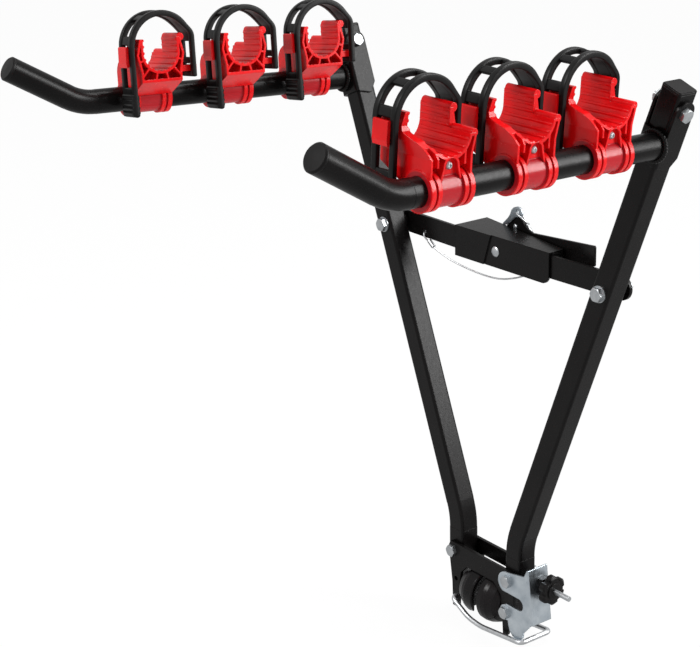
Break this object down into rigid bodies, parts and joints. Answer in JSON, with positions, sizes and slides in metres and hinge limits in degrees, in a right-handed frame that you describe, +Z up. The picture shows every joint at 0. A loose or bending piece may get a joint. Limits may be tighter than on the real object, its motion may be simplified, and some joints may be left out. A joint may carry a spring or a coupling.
{
  "type": "tow ball bike rack",
  "caption": "Folding V-frame bike carrier that clamps on a tow ball, with bent arms, red saddle cradles under rubber ladder straps and a hinged brace.",
  "frame": {"origin": "centre of the tow ball", "axes": "+Z up, arms point along -Y, +X to the side of the clamping knob"},
  "size_m": [0.5804, 0.4971, 0.7253],
  "materials": {
    "black_powder_coat": "satin black powder coat on steel",
    "black_painted_cups": "black painted steel",
    "zinc_plated_fasteners": "bright zinc plate",
    "zinc_plated_sheet": "pressed sheet with zinc plate",
    "bright_steel_wire": "drawn steel wire",
    "black_plastic": "moulded black plastic",
    "red_plastic": "moulded red plastic, glossy",
    "black_rubber": "black rubber, slightly glossy"
  },
  "bodies": {
    "base": {"base_plate_front": "black_powder_coat", "base_plate_back": "black_powder_coat", "cup_left": "black_painted_cups", "cup_right": "black_painted_cups", "base_bolts": "zinc_plated_fasteners", "base_nuts": "zinc_plated_fasteners", "cup_bolt": "zinc_plated_fasteners", "cup_nut": "zinc_plated_fasteners", "lock_plate": "zinc_plated_sheet", "knob_stud": "zinc_plated_fasteners", "stud_block": "black_plastic"},
    "knob_washer": {"knob_washer": "black_plastic"},
    "knob": {"star_knob": "black_plastic"},
    "bail": {"bail_wire": "bright_steel_wire"},
    "left_leg": {"leg_left": "black_powder_coat", "leg_cap_left": "black_plastic", "brace_bolt_left": "zinc_plated_fasteners", "brace_spacer_left": "black_plastic", "brace_nut_left": "zinc_plated_fasteners"},
    "right_leg": {"leg_right": "black_powder_coat", "leg_cap_right": "black_plastic", "brace_bolt_right": "zinc_plated_fasteners", "brace_spacer_right": "black_plastic"},
    "left_bar": {"brace_bar_left": "black_powder_coat", "lanyard_wire": "bright_steel_wire", "lanyard_crimp_left": "bright_steel_wire"},
    "right_bar": {"brace_channel": "black_powder_coat", "brace_bar_right": "black_powder_coat", "brace_nut_right": "zinc_plated_fasteners", "brace_rivet": "zinc_plated_fasteners"},
    "handle": {"brace_handle": "black_powder_coat", "pull_tab": "zinc_plated_sheet", "tab_rivet": "zinc_plated_fasteners", "lanyard_crimp_right": "bright_steel_wire"},
    "left_arm": {"arm_bracket_left": "black_powder_coat", "arm_tube_left": "black_powder_coat", "arm_plug_left": "black_plastic", "arm_bolt_left": "zinc_plated_fasteners", "arm_nut_left": "zinc_plated_fasteners", "cradle_left_1": "red_plastic", "cradle_left_2": "red_plastic", "cradle_left_3": "red_plastic", "strap_left_1": "black_rubber", "strap_left_2": "black_rubber", "strap_left_3": "black_rubber", "cradle_screws_left": "zinc_plated_fasteners"},
    "right_arm": {"arm_bracket_right": "black_powder_coat", "arm_tube_right": "black_powder_coat", "arm_plug_right": "black_plastic", "arm_bolt_right": "zinc_plated_fasteners", "arm_nut_right": "zinc_plated_fasteners", "cradle_right_1": "red_plastic", "cradle_right_2": "red_plastic", "cradle_right_3": "red_plastic", "strap_right_1": "black_rubber", "strap_right_2": "black_rubber", "strap_right_3": "black_rubber", "cradle_screws_right": "zinc_plated_fasteners"}
  },
  "joints": [
    {"name": "left_leg_fold", "type": "hinge", "parent": "base", "child": "left_leg", "pos_m": [-0.05, 0, 0.041], "axis": [0, 1, 0], "range_deg": [0, 15]},
    {"name": "right_leg_fold", "type": "hinge", "parent": "base", "child": "right_leg", "pos_m": [0.05, 0, 0.041], "axis": [0, 1, 0], "range_deg": [-15, 0]},
    {"name": "left_bar_pivot", "type": "hinge", "parent": "left_leg", "child": "left_bar", "pos_m": [-0.17852, 0.02, 0.41535], "axis": [0, 1, 0], "range_deg": [-88.57, 0]},
    {"name": "brace_pivot", "type": "hinge", "parent": "left_bar", "child": "right_bar", "pos_m": [-0.012, 0.02, 0.41285], "axis": [0, 1, 0], "range_deg": [0, 130.89], "deforming": ["lanyard_wire"]},
    {"name": "handle_lift", "type": "hinge", "parent": "right_bar", "child": "handle", "pos_m": [-0.012, 0.05096, 0.41285], "axis": [-0.1602, -0.9871, 0], "range_deg": [0, 20]},
    {"name": "left_arm_fold", "type": "hinge", "parent": "left_leg", "child": "left_arm", "pos_m": [-0.25703, 0, 0.61776], "axis": [-0.9323, 0, -0.3616], "range_deg": [0, 90]},
    {"name": "right_arm_fold", "type": "hinge", "parent": "right_leg", "child": "right_arm", "pos_m": [0.25703, 0, 0.61776], "axis": [-0.9323, 0, 0.3616], "range_deg": [0, 90]},
    {"name": "washer_slide", "type": "slide", "parent": "base", "child": "knob_washer", "axis": [1, 0, 0], "range_m": [0, 0.0051]},
    {"name": "knob_turn", "type": "hinge", "parent": "knob_washer", "child": "knob", "pos_m": [0.1, 0, 0.045], "axis": [1, 0, 0], "range_deg": [0, 1440]},
    {"name": "bail_swing", "type": "hinge", "parent": "base", "child": "bail", "pos_m": [-0.0445, 0, -0.017], "axis": [0, 1, 0], "range_deg": [0, 70]}
  ],
  "couplings": [
    {"joint": "right_leg_fold", "follows": "left_leg_fold", "ratio": -1},
    {"joint": "left_bar_pivot", "follows": "left_leg_fold", "ratio": -5.904},
    {"joint": "brace_pivot", "follows": "left_leg_fold", "ratio": 8.7252},
    {"joint": "washer_slide", "follows": "knob_turn", "m_per_rad": 0.00019894}
  ]
}
